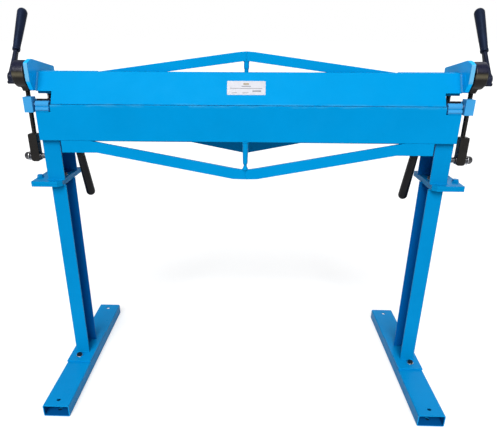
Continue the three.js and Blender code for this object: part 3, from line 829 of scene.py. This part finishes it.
def leaf_strut():
    """A turned strut with a waist, welded round its top and foot."""
    strut, foot, top = middle("leaf_strut"), low("leaf_strut").z, high("leaf_strut").z
    height = top - foot
    profile = rounded(
        [(0, mm(9.8)), (mm(2), mm(9.8)), (mm(12), mm(5.4)), (mm(17), mm(5.4)), (mm(21), mm(8.0)),
         (height, mm(10))], mm(1.6), False)
    post = turned(profile, (strut.x, strut.y, foot), UP, 48)
    piece("leaf_strut_bar", post, *LEAF_PAINTED, "leaf_strut")
    for name, z, radius in (("top", top, mm(10)), ("foot", foot, mm(9.4))):
        ring_weld(f"leaf_strut_weld_{name}", strut, z, radius, mm(1.8), *LEAF_PAINTED, 44)


def knuckle(side):
    """The leaf's hinge eye, with its welded seat, at the end of the bend line."""
    node = f"leaf_knuckle_{side}"
    a, b = low(node), high(node)
    hinge = pivot("leaf_hinge")
    outer, bore = mm(11), mm(6.5)
    length = b.x - a.x
    profile = rounded([(0, bore), (0, outer), (length, outer), (length, bore)], mm(1.2))
    eye = turned(profile, (a.x, hinge.y, hinge.z), (1, 0, 0), 48, ring=True)
    seat_radius = mm(7.6)
    seat_y, seat_z = a.y + seat_radius, a.z + seat_radius
    seat = bar(seat_radius, (a.x, seat_y, seat_z), (b.x, seat_y, seat_z), mm(1.2))
    # The eye and its seat take the highlight blue: a painted highlight.
    piece(node + "_eye", merged(eye, seat), *LEAF_PAINTED, node, look=HIGHLIGHT_LOOK)
    for name, y, z in (("low", a.y + mm(1.2), a.z + mm(0.5)), ("high", hinge.y - mm(9.5), hinge.z - mm(6.6))):
        path = [(a.x + mm(1), y, z), (b.x - mm(1), y, z)]
        weld(f"knuckle_weld_{name}_{side}", path, mm(1.5), *LEAF_PAINTED)


def bending_handle(side):
    """A moulded grip on a steel stud, screwed into the back of the leaf."""
    node = f"bending_handle_{side}"
    x = middle(node).x
    down = Vector((0, math.sin(HANDLE_LEAN), -math.cos(HANDLE_LEAN)))
    tip_radius, top_radius = mm(15.8), mm(13.5)
    lowest = low(node).z + tip_radius * 0.15 * math.sin(HANDLE_LEAN)
    length, root_y = mm(205), mm(-36)
    top = Vector((x, root_y, lowest)) - down * length
    top.y = root_y
    grip = rounded([(mm(20), 0), (mm(20), top_radius - mm(1.4)), (mm(23), top_radius), (mm(34), top_radius),
                    (mm(35.5), top_radius - mm(1)), (mm(38), top_radius - mm(1)), (mm(39.5), top_radius),
                    (length - tip_radius, tip_radius)], mm(1), False, 3)
    grip += dome(length - tip_radius, tip_radius, tip_radius, 10)
    piece(node + "_grip", turned(grip, top, down, 56), "leaf", "bending_grips", node)
    stud = stub(mm(4), mm(24), mm(7), mm(0.8))
    piece(node + "_stud", turned(stud, top, down, 32), "leaf", "black_bolts", look=LOOKS["black_bolts"])
    boss_from = Vector((x, high("leaf_plate").y, top.z + mm(2)))
    boss = stub(0, mm(7), mm(12), mm(1.5))
    piece(node + "_boss", turned(boss, boss_from, (0, 1, 0), 40), *LEAF_PAINTED)


# ---- clamping beam ----

FACE_PLATE = mm(12)              # thickness of the beam's face
TRUSS_WELD = (mm(489), mm(683))  # from the middle of the beam to the ends of each truss weld
CHEEK_BOTTOM = mm(1064)

def face_point(x, z, proud=0.0):
    """A point on the front of the beam's sloping face at a height."""
    a = low("beam_face")
    y = a.y + (z - a.z) * math.tan(FACE_LEAN)
    out = Vector((0, -math.cos(FACE_LEAN), math.sin(FACE_LEAN)))
    return Vector((x, y, z)) + out * proud


def build_beam():
    refined("beam_face", mm(1.2))
    refined("beam_web", mm(1.2))
    for side, sign in SIDES:
        beam_end(side, sign)
    back = Vector((0, FACE_PLATE / math.cos(FACE_LEAN), 0))
    z = high("beam_web").z
    path = [face_point(-mm(680), z) + back, face_point(mm(680), z) + back]
    weld("beam_web_weld", path, mm(2.8), *BEAM_PAINTED)
    beam_strut()
    label()


def beam_end(side, sign):
    """One half of the truss and one cheek, with a cover over the cheek's bore and the welds between them."""
    refined(f"beam_truss_{side}", mm(1.2), look=LIT_TRUSS_LOOK)
    refined(f"beam_cheek_{side}", mm(1.6), look=CHEEK_LIGHT_AND_REFLECTION_LOOK)
    face_top = high("beam_face").z
    x = sign * (high("beam_face").x - mm(0.5))
    axis = clamp_axis(side)
    radius, thickness = mm(14.5), mm(0.7)
    profile = [(0, 0), (0, radius), (thickness, radius), (thickness, 0)]
    cover = turned(profile, (x, axis.y, axis.z), (sign, 0, 0), 40)
    # The cover takes the cheek's lightened blue, which is painted light.
    piece(f"cheek_bore_cover_{side}", cover, *BEAM_PAINTED, look=CHEEK_LIGHT_AND_REFLECTION_LOOK)
    seam = [face_point(x, face_top - mm(2)), face_point(x, CHEEK_BOTTOM)]
    # The front seam weld takes the highlight blue: a painted highlight.
    weld(f"cheek_weld_front_{side}", seam, mm(4.2), *BEAM_PAINTED, look=HIGHLIGHT_LOOK)
    web_low, web_high = low("beam_web"), high("beam_web")
    path = [(x, web_low.y + mm(12), web_high.z), (x, web_high.y - mm(4), web_high.z)]
    weld(f"cheek_weld_top_{side}", path, mm(2.6), *BEAM_PAINTED)
    y = low(f"beam_truss_{side}").y
    path = [(sign * along, y, face_top - mm(0.5)) for along in TRUSS_WELD]
    weld(f"beam_truss_weld_{side}", path, mm(2.2), *BEAM_PAINTED)


def beam_strut():
    node = "beam_strut"
    centre, foot = middle(node), low(node).z
    height = high(node).z - foot
    profile = rounded([(0, mm(8.6)), (mm(6), mm(8.6)), (mm(9), mm(6.8)), (height - mm(25), mm(6.8)),
                       (height - mm(21), mm(8.8)), (height, mm(8.8))], mm(1.2), False)
    piece("beam_strut_bar", turned(profile, (centre.x, centre.y, foot), UP, 48), *BEAM_PAINTED, node)
    for name, z, radius in (("top", foot + height, mm(8.6)), ("foot", foot, mm(9))):
        ring_weld(f"beam_strut_weld_{name}", centre, z, radius, mm(1.6), *BEAM_PAINTED, 40)
    truss_top, truss_low = high("beam_truss_left"), low("beam_truss_left")
    path = [(0, truss_low.y, truss_top.z - mm(2)), (0, truss_low.y, truss_top.z - mm(27))]
    weld("beam_truss_mitre", path, mm(1.6), *BEAM_PAINTED, look=LIT_TRUSS_LOOK)


def slab_on_face(x0, x1, z0, z1, proud, thickness, radius):
    """A thin rounded sheet lying on the beam's face."""
    outline = rounded(rectangle(x0, x1, z0, z1), radius, True, 6)
    rings = [[face_point(p.x, p.y, depth) for p in outline] for depth in (proud, proud + thickness)]
    return rings_to_mesh(rings)


def label():
    """A plain off-white label with a dark rule and small bars in place of any print."""
    left, right, bottom, top = -mm(61.5), mm(62.5), mm(1054), mm(1095)
    white = printed("label_white", (0.40, 0.405, 0.45))
    dark = printed("label_dark", (0.06, 0.05, 0.06))
    grey = printed("label_grey", (0.12, 0.125, 0.15))
    gold = printed("label_gold", (0.20, 0.16, 0.10))
    sheet = slab_on_face(left, right, bottom, top, 0, mm(0.5), mm(3))
    piece("label_sheet", sheet, *BEAM_PAINTED, look=white)
    marks = (
        ("crest", gold, -9, 9, 29, 35),
        ("line", grey, -15, 15, 24, 26.5),
        ("rule", dark, -52, 52, 18.5, 19.8),
        ("box", grey, 20, 48, 9, 13.5),
        ("foot_left", grey, -46, -30, 5, 7),
        ("foot_middle", grey, -12, 8, 5, 7),
    )
    for name, look, x0, x1, z0, z1 in marks:
        strip = slab_on_face(mm(x0), mm(x1), bottom + mm(z0), bottom + mm(z1), mm(0.45), mm(0.12), mm(0.4))
        piece(f"label_{name}", strip, *BEAM_PAINTED, look=look)


# ---- clamps and links ----

def clamp_axis(side):
    return pivot(f"clamp_turn_{side}")


ECCENTRICITY = mm(12)
LEVER_UP = Vector((0, math.sin(LEVER_LEAN), math.cos(LEVER_LEAN)))
LEVER_HALF = mm(7.2)             # half the lever's thickness at its eye


def eccentric_shaft(side, sign):
    """Shaft, eccentric disc and the retaining plate in front of the link head."""
    node = f"eccentric_shaft_{side}"
    axis = clamp_axis(side)
    out = Vector((sign, 0, 0))
    inner = sign * mm(688)
    start = Vector((inner, axis.y, axis.z))
    shaft = rounded([(0, 0), (0, mm(12)), (mm(65), mm(12)), (mm(65), mm(9.5)), (mm(79), mm(9.5)),
                     *thread(mm(79.5), mm(82.5), mm(9.5)), (mm(82.5), 0)], mm(0.6), False, 2)
    disc_start = Vector((sign * mm(706), axis.y, axis.z + ECCENTRICITY))
    disc = stub(0, mm(34), mm(27), mm(1.2))
    plate_start = Vector((sign * mm(742.6), axis.y, axis.z + ECCENTRICITY))
    plate = rounded([(0, 0), (0, mm(36)), (mm(5), mm(36)), (mm(7), mm(22)), (mm(7), 0)], mm(1.2), False)
    parts = [
        turned(shaft, start, out, 48),
        turned(disc, disc_start, out, 64),
        turned(plate, plate_start, out, 64),
    ]
    piece(node + "_turned", merged(*parts), f"clamp_{side}", "clamp_steel", node)


def clamp_lever(side):
    """A forged lever: an eye on the shaft, a flat tapering shank and a stud for the grip."""
    node = f"clamp_lever_{side}"
    axis = clamp_axis(side)
    out, along, half = Vector((1, 0, 0)), LEVER_UP, LEVER_HALF
    across = Vector((0, math.cos(LEVER_LEAN), -math.sin(LEVER_LEAN)))
    eye = turned(stub(-half, half, mm(17.5), mm(2.5)), axis, out, 64)

    def shank_ring(distance, width, thickness):
        section = rounded(rectangle(-width, width, -thickness, thickness), thickness * 0.8, True, 4)
        centre = axis + along * distance
        return [centre + across * p.x + out * p.y for p in section]

    shank = rings_to_mesh([
        shank_ring(mm(-4), mm(16.5), mm(7)), shank_ring(mm(30), mm(13), mm(7)),
        shank_ring(mm(70), mm(10.2), mm(6.8)), shank_ring(mm(98), mm(9), mm(6.6)),
    ])
    lug = bar(mm(7), axis - along * mm(15) - out * half, axis - along * mm(15) + out * half, mm(1.5))
    forged = cast([eye, shank, lug], mm(1.0), 5)
    stud = turned([(mm(92), mm(6.2)), (mm(215), mm(6.2))], axis, along, 24)
    piece(node + "_forging", merged(forged, stud), f"clamp_{side}", "clamp_steel", node, angle=50)


def lever_fixings(side, sign):
    """The nut on the end of the shaft, and the pinch bolt's two ends in the lever's lug."""
    axis = clamp_axis(side)
    outward = Vector((sign, 0, 0))
    end = Vector((sign * mm(769.3), axis.y, axis.z))
    nut = merged(
        washer(mm(12.5), mm(9.7), mm(1.2), end, outward),
        hexagon(mm(19), mm(1.8), end + outward * mm(1.2), outward, both_ends=True),
    )
    piece(f"lever_nut_{side}", nut, f"clamp_{side}", "clamp_steel", look=LOOKS["black_bolts"])
    pinch = axis - LEVER_UP * mm(16.5)
    heads = []
    for toward in (-1, 1):
        direction = Vector((toward, 0, 0))
        seat = pinch + direction * (LEVER_HALF - mm(0.4))
        heads.append(washer(mm(6), mm(3), mm(1), seat, direction))
        heads.append(hexagon(mm(9), mm(2.2), seat + direction * mm(1), direction))
    black = LOOKS["black_bolts"]
    piece(f"lever_pinch_bolt_{side}", merged(*heads), f"clamp_{side}", "clamp_steel", look=black)


def lever_grip(side):
    """A tapered moulded grip with a collar at its foot and a rounded end."""
    node = f"lever_grip_{side}"
    axis = clamp_axis(side)
    start, length, foot, tip = mm(101), mm(163), mm(12.2), mm(16.6)
    body = rounded([(0, mm(7)), (0, foot - mm(0.8)), (mm(1.2), foot + mm(0.4)), (mm(9), foot + mm(0.5)),
                    (mm(10.5), foot - mm(0.6)), (mm(13), foot - mm(0.3)), (mm(60), foot + mm(1.4)),
                    (mm(110), foot + mm(3.2)), (length - tip, tip)], mm(1.2), False, 3)
    body += dome(length - tip, tip, tip, 12)
    grip = turned(body, axis + LEVER_UP * start, LEVER_UP, 64)
    piece(node + "_moulding", grip, f"clamp_{side}", "lever_grips", node)


def link_head_highlight_look():
    """The strap's casting with painted light: a light band across its front where it stands proudest, a painted
    highlight, and navy above that, a painted reflection.
    """
    material = black_casting("link_head_painted_light", *LINK_CASTING)
    s = Surface(material=material)
    centre = clamp_axis("left") + Vector((0, 0, ECCENTRICITY))
    # Painted reflection: the upper part turns navy.
    s.repaint(s.height_mask("Z", centre.z + mm(8), centre.z + mm(16)), (0.008, 0.009, 0.026))
    # Painted highlight: a light band across the front at the eccentric's height.
    rising = s.height_mask("Z", centre.z - mm(10), centre.z - mm(2))
    falling = s.height_mask("Z", centre.z + mm(10), centre.z + mm(2))
    front = s.height_mask("Y", centre.y - mm(36), centre.y - mm(41))
    band = s.mix(1.0, s.mix(1.0, rising, falling, "MULTIPLY"), front, "MULTIPLY")
    s.repaint(s.scaled(band, 0.85), (0.085, 0.075, 0.048))
    return material


def link_head(side):
    """A cast strap round the eccentric, drawn down to the tie rod."""
    node = f"link_head_{side}"
    a, b = low(node), high(node)
    axis = clamp_axis(side)
    rod = pivot(f"link_swing_{side}")
    centre = Vector((a.x, axis.y, axis.z + ECCENTRICITY))
    width, outer, bore = b.x - a.x, mm(42), mm(31.6)
    ring = turned(stub(0, width, outer, mm(3)), centre, (1, 0, 0), 72)

    def neck_ring(z, x_from, x_to, half_depth):
        section = rounded(rectangle(x_from, x_to, -half_depth, half_depth), mm(4))
        return [Vector((p.x, axis.y + p.y, z)) for p in section]

    neck = rings_to_mesh([
        neck_ring(a.z, rod.x - mm(11), rod.x + mm(11), mm(12)),
        neck_ring(a.z + mm(10), rod.x - mm(12.5), rod.x + mm(13.5), mm(15)),
        neck_ring(a.z + mm(26), a.x + mm(2), b.x - mm(2), mm(26)),
        neck_ring(a.z + mm(42), a.x, b.x, mm(33)),
    ])
    cutter = bar(bore, centre - Vector((0.01, 0, 0)), centre + Vector((width + 0.01, 0, 0)), 0.0, 72)
    casting = boolean(cast([ring, neck], mm(1.1), 5), "DIFFERENCE", cutter)
    piece(node + "_casting", casting, f"link_{side}", "link_steel", node, look=link_head_highlight_look(), angle=40)


def tie_rod(side):
    """A round rod with threaded ends."""
    node = f"tie_rod_{side}"
    a, b = low(node), high(node)
    centre = middle(node)
    radius, height, cut = mm(7.5), b.z - a.z, mm(20)
    profile = [(0, radius - mm(0.4)), *thread(mm(0.5), cut, radius), (cut + mm(1), radius),
               (height - cut - mm(1), radius), *thread(height - cut, height - mm(0.5), radius),
               (height, radius - mm(0.4))]
    rod = turned(profile, (centre.x, centre.y, a.z), UP, 32)
    piece(node + "_bar", rod, f"link_{side}", "link_steel", node)


def link_block(side):
    """A machined block with rounded corners at the foot of the tie rod."""
    node = f"link_block_{side}"
    a, b = low(node), high(node)
    rod = pivot(f"link_swing_{side}")
    foot_corner, head_corner = mm(11), mm(4.5)
    radii = [foot_corner, foot_corner, head_corner, head_corner]
    outline = rounded(rectangle(a.x, b.x, a.z, b.z), radii, True, 8)
    body = prism(outline, "y", a.y, b.y, mm(2.2))
    cutter = bar(mm(6.5), (a.x - 0.01, rod.y, rod.z), (b.x + 0.01, rod.y, rod.z), 0.0, 40)
    body = boolean(body, "DIFFERENCE", cutter)
    piece(node + "_machined", body, f"link_{side}", "link_steel", node, bevelled=True)


def pivot_bolt(side, sign):
    """A shouldered pivot with a bright cap nut and washers either side of the block."""
    node = f"pivot_bolt_{side}"
    rod = pivot(f"link_swing_{side}")
    out = Vector((sign, 0, 0))
    start = Vector((sign * mm(682.3), rod.y, rod.z))
    faces = (abs(low(f"link_block_{side}").x), abs(high(f"link_block_{side}").x))
    block_in, block_out = min(faces) - abs(start.x), max(faces) - abs(start.x)
    shoulder, end = block_in - mm(2.7), block_out + mm(14)
    shank = rounded([(0, 0), (0, mm(9)), (shoulder, mm(9)), (shoulder, mm(6)), (end, mm(6)), (end, 0)],
                    mm(0.8), False)
    cap_start = block_out + mm(9)
    cap = [(cap_start, 0), (cap_start, mm(13.4)), (cap_start + mm(5.6), mm(13.4))]
    cap += dome(cap_start + mm(6), mm(11.5), mm(13.2), 10, first=0)
    parts = [
        turned(shank, start, out, 40),
        washer(mm(13), mm(6.2), mm(2), start + out * (block_in - mm(2.5)), out),
        washer(mm(9), mm(6.3), mm(6), start + out * (block_out + mm(0.6)), out),
        turned(cap, start, out, 48),
    ]
    piece(node + "_cap_nut", merged(*parts), "frame", "pivot_steel", node)
    bright = washer(mm(15), mm(6.2), mm(1.8), start + out * (block_out + mm(7)), out)
    piece(f"pivot_washers_{side}", bright, "frame", "pivot_steel", look=BRIGHT_STEEL)


SEAT_THICKNESS = mm(1.4)


def guide_stud(side):
    """The stud that guides the beam, threaded at its top, and the washer that seats its spring."""
    stud = f"guide_stud_{side}"
    a, b = low(stud), high(stud)
    centre = middle(stud)
    radius = (b.x - a.x) / 2
    height = b.z - a.z
    profile = [(0, radius), (height - mm(14), radius),
               *thread(height - mm(13.5), height - mm(1), radius, mm(1.2)), (height, radius - mm(1))]
    rod = turned(profile, (centre.x, centre.y, a.z), UP, 28)
    piece(stud + "_bar", rod, "frame", "zinc_bolts", stud, look=LOOKS["black_bolts"])
    seat = washer(mm(10.5), radius + mm(0.3), SEAT_THICKNESS, (centre.x, centre.y, a.z), UP)
    piece(f"spring_seat_{side}", seat, "frame", "zinc_bolts", look=BRIGHT_STEEL)


def lift_spring(side):
    """The coil that lifts the beam, with a closed turn at each end."""
    spring = f"lift_spring_{side}"
    centre = middle(f"guide_stud_{side}")
    a, b = low(spring), high(spring)
    a.z += SEAT_THICKNESS
    wire = mm(1.25)
    coil = (b.x - a.x) / 2 - wire
    turns, closed_turn, steps = 7, 0.9, 26
    closed_pitch = 2.1 * wire
    open_rise = b.z - a.z - 2 * wire - 2 * closed_pitch * closed_turn
    points = []
    for k in range(turns * steps + 1):
        turn = k / steps
        middle_share = min(max((turn - closed_turn) / (turns - 2 * closed_turn), 0), 1)
        at_ends = min(turn, closed_turn) + max(turn - turns + closed_turn, 0)
        z = a.z + wire + closed_pitch * at_ends + open_rise * middle_share
        angle = 2 * math.pi * turn
        points.append((centre.x + coil * math.cos(angle), centre.y + coil * math.sin(angle), z))
    obj = piece(spring + "_coil", swept(points, wire, 8), None, "spring_steel", spring, angle=60)
    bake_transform(obj)


def build_clamps():
    for side, sign in SIDES:
        eccentric_shaft(side, sign)
        clamp_lever(side)
        lever_fixings(side, sign)
        lever_grip(side)
        link_head(side)
        tie_rod(side)
        link_block(side)
        pivot_bolt(side, sign)
        guide_stud(side)
        lift_spring(side)


# ---------------------------------------------------------------- studio

def studio_floor():
    """A pale backlit table: the camera sees it glow a little, and it throws less light back up."""
    s = Surface("studio_floor")
    drift = s.patches((0.8, 3.0, 0.5), 0.3, 0.7)
    tone = s.mix(drift, (0.62, 0.62, 0.62), (0.60, 0.60, 0.603))
    s.drive("Base Color", tone)
    s.set(Roughness=0.75, Specular_IOR_Level=0.1, Emission_Color=(1, 1, 1, 1))
    glow = s.scaled(s.add("ShaderNodeLightPath").outputs["Is Camera Ray"], 0.42)
    s.drive("Emission Strength", glow)
    bm = bmesh.new()
    bmesh.ops.create_circle(bm, cap_ends=True, radius=400.0, segments=96)
    staged("studio_floor", bm, s.material)
    floor_shade_discs()


def staged(name, bm, material):
    """A piece of the studio, which isn't part of the machine."""
    mesh = mesh_of(name, bm)
    mesh.materials.append(material)
    placed(name, mesh)


def floor_shade_discs():
    """Dark discs on the studio floor under the anchor holes: painted shade, so that the holes read as deep."""
    s = Surface("painted_shade_dark")
    dark = s.mix(s.noise(200.0), (0.004, 0.02, 0.05), (0.006, 0.03, 0.07))
    s.drive("Base Color", dark)
    s.set(Roughness=0.9, Specular_IOR_Level=0.0)
    for side, _ in SIDES:
        for x, y, _ in anchor_places(side):
            staged("floor_shade_disc", bar(mm(7), (x, y, mm(0.1)), (x, y, mm(0.5))), s.material)


def distant_light(name, towards, strength, softness):
    """A very large soft light, far off in one direction. Softness is its width in degrees."""
    light = bpy.data.lights.new(name, "SUN")
    light.energy = strength
    light.angle = math.radians(softness)
    obj = placed(name, light)
    obj.rotation_euler = Vector(towards).to_track_quat("Z", "Y").to_euler()


def studio_lights():
    """A white surround that the camera sees, dimmer as light, with one big softbox high in front."""
    world = bpy.data.worlds.new("studio")
    world.use_nodes = True
    nodes, links = world.node_tree.nodes, world.node_tree.links
    background = nodes["Background"]
    background.inputs["Color"].default_value = (0.97, 0.985, 1.0, 1)
    background.inputs["Strength"].default_value = 0.30
    seen = nodes.new("ShaderNodeBackground")
    seen.inputs["Color"].default_value = (1, 1, 1, 1)
    mix = nodes.new("ShaderNodeMixShader")
    links.new(nodes.new("ShaderNodeLightPath").outputs["Is Camera Ray"], mix.inputs["Fac"])
    links.new(background.outputs[0], mix.inputs[1])
    links.new(seen.outputs[0], mix.inputs[2])
    links.new(mix.outputs[0], nodes["World Output"].inputs["Surface"])
    bpy.context.scene.world = world
    distant_light("key", (-0.10, -1.0, 0.91), 3.9, 38)
    distant_light("rear", (0.25, 1.0, 0.9), 0.7, 60)
    bpy.context.scene.view_settings.view_transform = "Standard"


def camera():
    """The view is from a standing height in front, a little right of the middle."""
    data = bpy.data.cameras.new("camera")
    data.sensor_width = 36.0
    data.lens = 33.844
    data.shift_x = 0.0259
    data.shift_y = 0.0314
    obj = placed("camera", data)
    obj.location = (0.0186, -1.5808, 1.2156)
    pitch, yaw, roll = 0.3898, 0.0326, 0.0028
    turns = ((yaw, "Z"), (math.pi / 2 - pitch, "X"), (roll, "Z"))
    rotations = [Matrix.Rotation(angle, 4, axis) for angle, axis in turns]
    obj.rotation_euler = (rotations[0] @ rotations[1] @ rotations[2]).to_euler()
    bpy.context.scene.camera = obj


camera()
studio_floor()
studio_lights()
build_stand()
build_bed()
build_leaf()
build_beam()
build_clamps()
